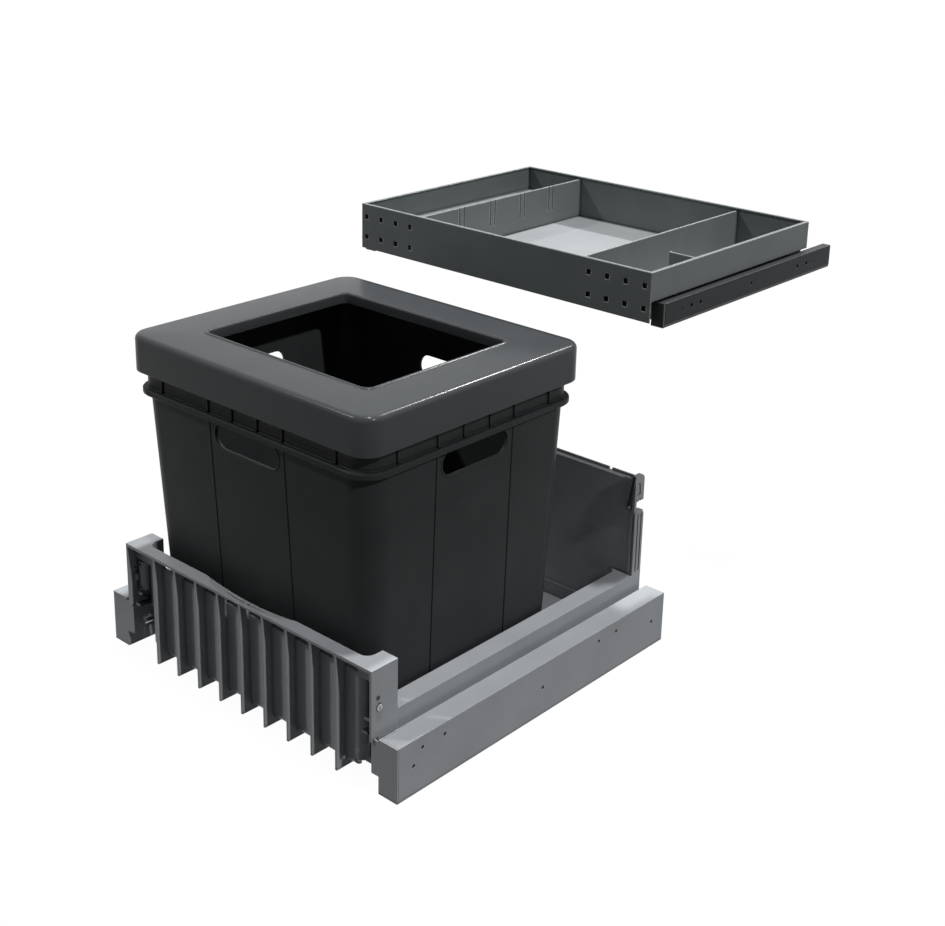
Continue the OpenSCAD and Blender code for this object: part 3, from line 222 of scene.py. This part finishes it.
# Coated drawer sheet: mid grey, satin, pale at the folded edges, partly as wear and partly as painted
# highlight
drawer_coat = surface("coated_drawer_sheet", "#757b7b", "#f0f2f2", rough=0.40, swing=0.05,
                      grain_mm=1.2, depth_mm=0.03, edge_mm=2.2, wear_and_highlight_amount=1.0, specular=0.15)
# The runners' channels carry the same coat in a darker shade
runner_coat = surface("dark_runner_coat", "#3a3d3f", "#b4b8b9", rough=0.40, swing=0.05,
                      grain_mm=1.2, depth_mm=0.03, edge_mm=1.0, wear_and_highlight_amount=0.8, specular=0.06)
# Embossed polypropylene mat on the drawer's floor: pale, matt and coarse
drawer_mat = surface("embossed_mat", "#969a9c", "#a6a9aa", rough=0.55, swing=0.05,
                     grain_mm=2.2, depth_mm=0.08, edge_mm=0.4)
# Rolled zinc-plated steel: long rolling streaks along the slide
zinc_steel = surface("zinc_plated_steel", "#b4b8ba", "#e4e6e7", rough=0.34, swing=0.07,
                     grain_mm=1.5, depth_mm=0.01, edge_mm=0.4, metallic=1.0, brushed=(1.0, 0.03, 1.0))
# Hardened steel balls, ground and polished
ball_steel = surface("polished_ball_steel", "#c9cccd", "#f2f2f2", rough=0.12, swing=0.03,
                     grain_mm=0.8, depth_mm=0.002, edge_mm=0.2, metallic=1.0)
# Moulded polyamide of caps, levers and bases: black and slightly dusty
black_polyamide = surface("black_polyamide", "#17191a", "#5e6264", rough=0.45, swing=0.06,
                          grain_mm=0.8, depth_mm=0.03, edge_mm=0.5, wear_and_highlight_amount=0.35, ior=1.53)

# Each solid wears the finish of its material slot
FINISHES = {
    "case_coat": powder_coat, "frame_coat": frame_coat, "panel_coat": panel_coat,
    "bracket_plastic": bracket_abs, "bin_plastic": bin_polypropylene, "lid_plastic": lid_polypropylene,
    "drawer_coat": drawer_coat, "drawer_mat": drawer_mat, "rolled_steel": zinc_steel,
    "cage_steel": zinc_steel, "ball_steel": ball_steel, "black_plastic": black_polyamide,
    "runner_coat": runner_coat,
}
for row in frame["record"]["subparts"]:
    cad_mesh = nodes[row["node"]].data
    cad_mesh.materials.clear()
    cad_mesh.materials.append(FINISHES[row["material_slot"]])

# Mesh tools (millimetres, until make_object turns them to metres)
SMOOTH_DEG = 32
LID_SMOOTH_DEG = 40
BEAD_SMOOTH_DEG = 50


def ring(half_w, front, rear, radius, z, arc_steps=10):
    """Points round an upright-cornered rectangle from y = front to y = rear, at height z."""
    points = []
    corners = ((1, rear), (-1, rear), (-1, front), (1, front))
    for quarter, (side, y_edge) in enumerate(corners):
        cx = side * (half_w - radius)
        cy = y_edge - radius if y_edge == rear else y_edge + radius
        for step in range(arc_steps + 1):
            turn = math.pi / 2 * (quarter + step / arc_steps)
            points.append(Vector((cx + radius * math.cos(turn), cy + radius * math.sin(turn), z)))
    return points


def loft(bm, rings, closed=False, capped=False):
    """Skins neighbouring rings of equal length; closed joins the last ring to the first."""
    rows = [[bm.verts.new(p) for p in points] for points in rings]
    count = len(rows[0])
    pairs = list(zip(rows, rows[1:])) + ([(rows[-1], rows[0])] if closed else [])
    for low, high in pairs:
        for i in range(count):
            j = (i + 1) % count
            bm.faces.new((low[i], low[j], high[j], high[i]))
    if capped:
        bm.faces.new(rows[0][::-1])
        bm.faces.new(rows[-1])


def block(bm, low, high, bevel):
    """A block with bevelled edges."""
    made = bmesh.ops.create_cube(bm, size=1)["verts"]
    for v in made:
        v.co = Vector((low[i] if v.co[i] < 0 else high[i] for i in range(3)))
    edges = list({e for v in made for e in v.link_edges})
    bmesh.ops.bevel(bm, geom=edges, offset=bevel, segments=2, affect="EDGES", profile=0.5)


def smooth(mesh, smooth_deg):
    """Smooth faces up to an edge angle."""
    mesh.polygons.foreach_set("use_smooth", [True] * len(mesh.polygons))
    mesh.set_sharp_from_angle(angle=math.radians(smooth_deg))


def make_object(name, bm, material, smooth_deg=SMOOTH_DEG):
    """An object from a mesh drawn in millimetres."""
    bmesh.ops.scale(bm, vec=(MM, MM, MM), verts=bm.verts)
    bmesh.ops.recalc_face_normals(bm, faces=bm.faces)
    mesh = bpy.data.meshes.new(name)
    bm.to_mesh(mesh)
    bm.free()
    smooth(mesh, smooth_deg)
    mesh.materials.append(material)
    obj = bpy.data.objects.new(name, mesh)
    bpy.context.scene.collection.objects.link(obj)
    return obj


def cut_away(obj, cutters):
    """Cuts the cutters out of the object and removes them."""
    for cutter in cutters:
        boolean = obj.modifiers.new("cut", "BOOLEAN")
        boolean.operation = "DIFFERENCE"
        boolean.solver = "EXACT"
        boolean.object = cutter
    solid = obj.evaluated_get(bpy.context.evaluated_depsgraph_get())
    mesh = bpy.data.meshes.new_from_object(solid)
    obj.modifiers.clear()
    obj.data = mesh
    for cutter in cutters:
        bpy.data.objects.remove(cutter)
    smooth(mesh, SMOOTH_DEG)


def dress(obj, body, slot, *replaced):
    """Ties a visible piece to its body and hides the solids that it stands in for; the slot is not used."""
    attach(obj, body)
    if replaced:
        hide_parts(*replaced)


# Bin (millimetres)
BIN_Y = -241.95
BIN_Z0 = 12.2
BIN_TOP = 431.8
BIN_HALF_W = 200
BIN_HALF_D = 177
# Walls, which stand in a little from the band above them and slope in towards the foot
WALL = 3
WALL_R = 32
WALL_TOP = 359.8
WALL_IN_X = 3
WALL_IN_FRONT = 2.8
WALL_IN_BACK = 1
TAPER_X = 0.024
TAPER_FRONT = 0.058
TAPER_BACK = 0.05
WALL_LOOPS_Z = (120, 240)
UNDER_FLANGE = 1
# The foot's outer round and the floor's inner round, as rise and distance in from the wall
FOOT_ROUND = ((0, 6), (0.8, 3), (2.4, 1), (5, 0))
FLOOR_ROUND = ((5, 0), (1.2, 1.4), (0, 5))
# Flange round the top of the walls
FLANGE_TOP = 367.8
FLANGE_OUT = 4.6
FLANGE_ROOT_IN = 2
FLANGE_LOW_EDGE = 1.2
FLANGE_TOP_EDGE = 1.4
# Band above the flange, with a recess that holds the ribs, and its rim
BAND_R = 28
RECESS = 2
RECESS_FILLET = 0.8
RECESS_TOP = FLANGE_TOP + 17
RIM = 6
RIM_EDGE = 1.2
# Inside, the band steps in to the wall between these distances above and below the wall's top
STEP_ABOVE = 2
STEP_BELOW = 3
# Hand holes
HAND_Z = 342.8
HAND_W = 111
HAND_H = 32
HAND_CUT = 12
# The bead round a hand hole, as growth beyond the hole and distance out from the wall
HAND_BEAD = ((2.5, -0.6), (2.2, 0.5), (1.4, 0.8), (0.7, 0.8), (0.0, 0.2),
             (-0.05, -1.2), (-0.05, -3.6), (0.7, -4.0), (2.5, -3.4))
# Seams, with their section as distance across and out from the wall
SEAM_X = 65
SEAM_FOOT = 8
SEAM_HEAD = 0.6
SEAM_SECTION = ((-0.9, -0.5), (-0.6, 0.45), (0, 0.6), (0.6, 0.45), (0.9, -0.5))
# Ribs on the band
RIB_X = (22, SEAM_X)
RIB_FROM_CORNER = 48.5
RIB_HALF_T = 1.2
RIB_OUT = 0.1
RIB_IN = 3
RIB_LOW_Z = FLANGE_TOP - 0.5
RIB_HIGH_Z = FLANGE_TOP + 18.6
RIB_BEVEL = 0.45


def wall_ring(z, inset):
    """A ring this far in from the walls' outer face, which slopes in towards the foot."""
    drop = WALL_TOP - z
    half = BIN_HALF_W - WALL_IN_X - drop * TAPER_X - inset
    front = -BIN_HALF_D + WALL_IN_FRONT + drop * TAPER_FRONT + inset
    rear = BIN_HALF_D - WALL_IN_BACK - drop * TAPER_BACK - inset
    return ring(half, BIN_Y + front, BIN_Y + rear, WALL_R - inset, z)


def band_ring(z, inset):
    """A ring this far in from the band's face, or out from it where inset is negative."""
    return ring(BIN_HALF_W - inset, BIN_Y - BIN_HALF_D + inset, BIN_Y + BIN_HALF_D - inset, BAND_R - inset, z)


def bin_shell():
    """The bin from its foot up the outside, over the rim and down the inside to its floor."""
    bm = bmesh.new()
    floor = BIN_Z0 + WALL
    rings = [
        *[wall_ring(BIN_Z0 + rise, inset) for rise, inset in FOOT_ROUND],
        *[wall_ring(z, 0) for z in WALL_LOOPS_Z],
        wall_ring(WALL_TOP - UNDER_FLANGE, 0),
        band_ring(WALL_TOP, FLANGE_ROOT_IN),
        band_ring(WALL_TOP, FLANGE_LOW_EDGE - FLANGE_OUT),
        band_ring(WALL_TOP + FLANGE_LOW_EDGE, -FLANGE_OUT),
        band_ring(FLANGE_TOP - FLANGE_TOP_EDGE, -FLANGE_OUT),
        band_ring(FLANGE_TOP, FLANGE_TOP_EDGE - FLANGE_OUT),
        band_ring(FLANGE_TOP, RECESS - RECESS_FILLET),
        band_ring(FLANGE_TOP + RECESS_FILLET, RECESS),
        band_ring(RECESS_TOP, RECESS),
        band_ring(RECESS_TOP + 0.5 * RECESS, 0.7 * RECESS),
        band_ring(RECESS_TOP + RECESS, 0),
        band_ring(BIN_TOP - RIM_EDGE, 0),
        band_ring(BIN_TOP, RIM_EDGE),
        band_ring(BIN_TOP, RIM - RIM_EDGE),
        band_ring(BIN_TOP - RIM_EDGE, RIM),
        band_ring(WALL_TOP + STEP_ABOVE, RIM),
        wall_ring(WALL_TOP - STEP_BELOW, WALL),
        *[wall_ring(z, WALL) for z in WALL_LOOPS_Z[::-1]],
        *[wall_ring(floor + rise, WALL + inset) for rise, inset in FLOOR_ROUND],
    ]
    loft(bm, rings, capped=True)
    return make_object("bin_shell", bm, bin_polypropylene)


def four_sides(half_w, half_d):
    """Each side's turn about the bin, its half length and its distance from the centre."""
    return (
        (0, half_w, half_d),
        (math.pi, half_w, half_d),
        (math.pi / 2, half_d, half_w),
        (-math.pi / 2, half_d, half_w),
    )


def block_on_side(bm, turn, low, high, bevel):
    """A bevelled block drawn on the front side, then turned about the bin to its own side."""
    first = len(bm.verts)
    block(bm, low, high, bevel)
    bm.verts.ensure_lookup_table()
    for v in bm.verts[first:]:
        v.co = Matrix.Rotation(turn, 3, "Z") @ v.co + Vector((0, BIN_Y, 0))


def wall_sides():
    """Each wall's turn about the bin, its distance from the centre at hand height, and its taper."""
    fall = WALL_TOP - HAND_Z
    side = BIN_HALF_W - WALL_IN_X - fall * TAPER_X
    return (
        (0, BIN_HALF_D - WALL_IN_FRONT - fall * TAPER_FRONT, TAPER_FRONT),
        (math.pi, BIN_HALF_D - WALL_IN_BACK - fall * TAPER_BACK, TAPER_BACK),
        (math.pi / 2, side, TAPER_X),
        (-math.pi / 2, side, TAPER_X),
    )


def on_wall(turn, taper, reach, across, out, up):
    """A point on a bin wall: across it, out from it and up along its slope."""
    local = Vector((across, -reach - out - up * taper, HAND_Z + up))
    return Matrix.Rotation(turn, 3, "Z") @ local + Vector((0, BIN_Y, 0))


def hand_hole(grow, arc_steps=12):
    """Points round a hand hole grown by a distance, centred, as (across, up)."""
    radius = HAND_H / 2 + grow
    points = []
    for side in (1, -1):
        for step in range(arc_steps + 1):
            turn = -side * math.pi / 2 + math.pi * step / arc_steps
            points.append((side * (HAND_W - HAND_H) / 2 + radius * math.cos(turn), radius * math.sin(turn)))
    return points


def hand_hole_cutters():
    """A block through each wall, in the shape of its hand hole."""
    cutters = []
    for turn, reach, _ in wall_sides():
        bm = bmesh.new()
        loops = [[on_wall(turn, 0, reach, across, out, up) for across, up in hand_hole(0)]
                 for out in (-HAND_CUT, HAND_CUT)]
        loft(bm, loops, capped=True)
        cutters.append(make_object("hand_cutter", bm, bin_polypropylene))
    return cutters


def hand_rims():
    """Rounded beads round the four hand holes, standing a little proud of the walls."""
    bm = bmesh.new()
    for turn, reach, taper in wall_sides():
        loops = [[on_wall(turn, taper, reach, across, out, up) for across, up in hand_hole(grow)]
                 for grow, out in HAND_BEAD]
        loft(bm, loops, closed=True)
    return make_object("hand_hole_rims", bm, bin_polypropylene, BEAD_SMOOTH_DEG)


def bin_ribs():
    """Upright ribs in the band's recess."""
    bm = bmesh.new()
    for turn, half_length, reach in four_sides(BIN_HALF_W, BIN_HALF_D):
        for side in (-1, 1):
            for place in (*RIB_X, half_length - RIB_FROM_CORNER):
                low = (side * place - RIB_HALF_T, -reach + RIB_OUT, RIB_LOW_Z)
                high = (side * place + RIB_HALF_T, -reach + RIB_IN, RIB_HIGH_Z)
                block_on_side(bm, turn, low, high, RIB_BEVEL)
    return make_object("bin_band_ribs", bm, bin_polypropylene)


def bin_seams():
    """Two upright seams on each wall, standing a little proud."""
    bm = bmesh.new()
    ends = (BIN_Z0 + SEAM_FOOT - HAND_Z, WALL_TOP - SEAM_HEAD - HAND_Z)
    for turn, reach, taper in wall_sides():
        for side in (-1, 1):
            centre = side * SEAM_X
            loops = [[on_wall(turn, taper, reach, centre + across, out, up) for across, out in SEAM_SECTION]
                     for up in ends]
            loft(bm, loops, capped=True)
    return make_object("bin_seams", bm, seam_and_shade_black, BEAD_SMOOTH_DEG)


bin_body = bin_shell()
cut_away(bin_body, hand_hole_cutters())
dress(bin_body, "bin", "bin_plastic", "bin")
for detail in (hand_rims(), bin_ribs(), bin_seams()):
    dress(detail, "bin", "bin_plastic")

# Lid (millimetres)
LID_TOP = 435.0
LID_H = 46.5
LID_FOOT = LID_TOP - LID_H
LID_HALF_W = 207.5
LID_HALF_D = 184.5
LID_T = 3
LID_R = 26
SHOULDER = 7
SHOULDER_STEPS = 6
# Under the top, the inner round of the shoulder, as drop and distance in from the skirt's inside
UNDER_ROUND = ((0, 4), (1.6, 1.2), (4, 0))
# The skirt's foot, as rise and distance in from the skirt's face
SKIRT_FOOT = ((0.4, LID_T), (0, LID_T - 0.5), (0, 0.7), (0.6, 0.1))
# Opening, with a collar that hangs from it
OPEN_HALF_W = 139.5
OPEN_HALF_D = 116.5
OPEN_R = 9
COLLAR = 13
COLLAR_EDGE = 0.5
COLLAR_TOP = 1.6
# The bead round the opening, as distance out from the opening's edge and rise over the lid
BEAD = ((5.6, 0.0), (5.0, 0.7), (4.0, 1.25), (3.0, 1.4), (2.0, 1.25), (1.0, 0.7), (0.3, -0.2))
# Ribs inside the skirt that centre the lid on the bin
LID_RIB_X = 70
LID_RIB_FOOT = 4
LID_RIB_IN = 4.2
LID_RIB_BEVEL = 0.3
# Ribs reach this far into the skirt and this far into the top
LID_RIB_BITE = 0.2
LID_RIB_TOP_BITE = 0.1


def lid_ring(z, inset):
    """A ring this far in from the skirt's face."""
    return ring(LID_HALF_W - inset, BIN_Y - LID_HALF_D + inset, BIN_Y + LID_HALF_D - inset, LID_R - inset, z)


def opening_ring(z, out):
    """A ring this far out from the opening's edge."""
    return ring(OPEN_HALF_W + out, BIN_Y - OPEN_HALF_D - out, BIN_Y + OPEN_HALF_D + out, OPEN_R + out, z)


def shoulder_ring(step):
    """A ring of the quarter round between the skirt and the top."""
    turn = math.pi / 2 * step / SHOULDER_STEPS
    return lid_ring(LID_TOP - SHOULDER + SHOULDER * math.sin(turn), SHOULDER - SHOULDER * math.cos(turn))


def lid_shell():
    """The lid over its shoulder and top, down the collar, back under the top and round the skirt's foot."""
    bm = bmesh.new()
    under_top = LID_TOP - LID_T
    rings = [
        *[shoulder_ring(step) for step in range(SHOULDER_STEPS + 1)],
        *[opening_ring(LID_TOP + rise, out) for out, rise in BEAD],
        opening_ring(LID_TOP - COLLAR_TOP, 0),
        opening_ring(LID_TOP - COLLAR + COLLAR_EDGE, 0),
        opening_ring(LID_TOP - COLLAR, COLLAR_EDGE),
        opening_ring(LID_TOP - COLLAR, LID_T),
        opening_ring(under_top, LID_T),
        *[lid_ring(under_top - drop, LID_T + inset) for drop, inset in UNDER_ROUND],
        *[lid_ring(LID_FOOT + rise, inset) for rise, inset in SKIRT_FOOT],
    ]
    loft(bm, rings, closed=True)
    return make_object("lid_shell", bm, lid_polypropylene, LID_SMOOTH_DEG)


def lid_ribs():
    """Upright ribs inside the skirt, two on each side."""
    bm = bmesh.new()
    low_z = LID_FOOT + LID_RIB_FOOT
    high_z = LID_TOP - LID_T + LID_RIB_TOP_BITE
    for turn, _, reach in four_sides(LID_HALF_W, LID_HALF_D):
        for x in (-LID_RIB_X, LID_RIB_X):
            low = (x - RIB_HALF_T, -reach + LID_T - LID_RIB_BITE, low_z)
            high = (x + RIB_HALF_T, -reach + LID_T + LID_RIB_IN, high_z)
            block_on_side(bm, turn, low, high, LID_RIB_BEVEL)
    return make_object("lid_centring_ribs", bm, lid_polypropylene)


dress(lid_shell(), "lid", "lid_plastic", "lid_frame")
dress(lid_ribs(), "lid", "lid_plastic")

# Painted shade: dark sheets behind the square holes in the drawer's front, standing in for the shade there
# (millimetres)
DRAWER_FRONT_Y = 12.05
DRAWER_SHEET = 1.5
SHADE_SHEET_X = (150, 248)
SHADE_SHEET_Z = (463, 503)
SHADE_SHEET_GAP = 0.05
SHADE_SHEET_T = 0.4
SHADE_SHEET_BEVEL = 0.1


def hole_shade_sheets():
    """A thin dull black sheet behind each group of square holes: painted shade that keeps them dark."""
    bm = bmesh.new()
    front = DRAWER_FRONT_Y + DRAWER_SHEET + SHADE_SHEET_GAP
    for side in (-1, 1):
        x0, x1 = sorted(side * x for x in SHADE_SHEET_X)
        block(bm, (x0, front, SHADE_SHEET_Z[0]), (x1, front + SHADE_SHEET_T, SHADE_SHEET_Z[1]), SHADE_SHEET_BEVEL)
    return make_object("front_hole_shade_sheets", bm, seam_and_shade_black)


dress(hole_shade_sheets(), "drawer", "black_plastic")

# Floor, background and lamps
FLOOR_HALF = 14000
FLOOR_LIFT = 0.97
AMBIENT = 0.06


def seen_directly(tree):
    """One for what the camera sees, straight or mirrored or through glass, and nought for all other light."""
    path = add(tree, "ShaderNodeLightPath")
    seen = path.outputs["Is Camera Ray"]
    for ray in ("Is Glossy Ray", "Is Transmission Ray"):
        seen = add(tree, "ShaderNodeMath", {"operation": "MAXIMUM"}, i0=seen, i1=path.outputs[ray]).outputs[0]
    return seen


def make_floor():
    """A matt floor that looks almost white where no shadow falls on it."""
    bm = bmesh.new()
    bmesh.ops.create_grid(bm, x_segments=2, y_segments=2, size=FLOOR_HALF)
    material, tree = new_material("pale_studio_floor")
    lift = add(tree, "ShaderNodeMath", {"operation": "MULTIPLY"}, i0=seen_directly(tree), i1=FLOOR_LIFT)
    matt = add(tree, "ShaderNodeBsdfDiffuse", Color=linear("#303030"))
    glow = add(tree, "ShaderNodeEmission", Strength=lift.outputs[0])
    both = add(tree, "ShaderNodeAddShader", i0=matt.outputs[0], i1=glow.outputs[0])
    add(tree, "ShaderNodeOutputMaterial", Surface=both.outputs[0])
    make_object("studio_floor", bm, material)


def make_world():
    """A white background that lights the object only a little."""
    world = bpy.data.worlds.new("studio_world")
    bpy.context.scene.world = world
    world.use_nodes = True
    tree = world.node_tree
    tree.nodes.clear()
    level = add(tree, "ShaderNodeMapRange", i0=seen_directly(tree), i1=0.0, i2=1.0, i3=AMBIENT, i4=1.0)
    sky = add(tree, "ShaderNodeBackground", Color=linear("#ffffff"), Strength=level.outputs[0])
    add(tree, "ShaderNodeOutputWorld", Surface=sky.outputs[0])


def sun(name, towards, strength, spread_deg):
    """A distant lamp; towards points from the object to the lamp."""
    data = bpy.data.lights.new(name, "SUN")
    data.energy = strength
    data.angle = math.radians(spread_deg)
    lamp = bpy.data.objects.new(name, data)
    lamp.rotation_euler = Vector(towards).to_track_quat("Z", "Y").to_euler()
    bpy.context.scene.collection.objects.link(lamp)


make_floor()
make_world()
sun("side_sun", towards=(0.74, -0.06, 0.67), strength=1.15, spread_deg=2)
sun("back_sun", towards=(-0.02, 0.71, 0.70), strength=2.8, spread_deg=2)
sun("top_sun", towards=(0.10, 0.05, 0.99), strength=1.75, spread_deg=3)
sun("front_sun", towards=(-0.58, -0.42, 0.70), strength=0.8, spread_deg=2)

bpy.context.scene.view_settings.view_transform = "Standard"
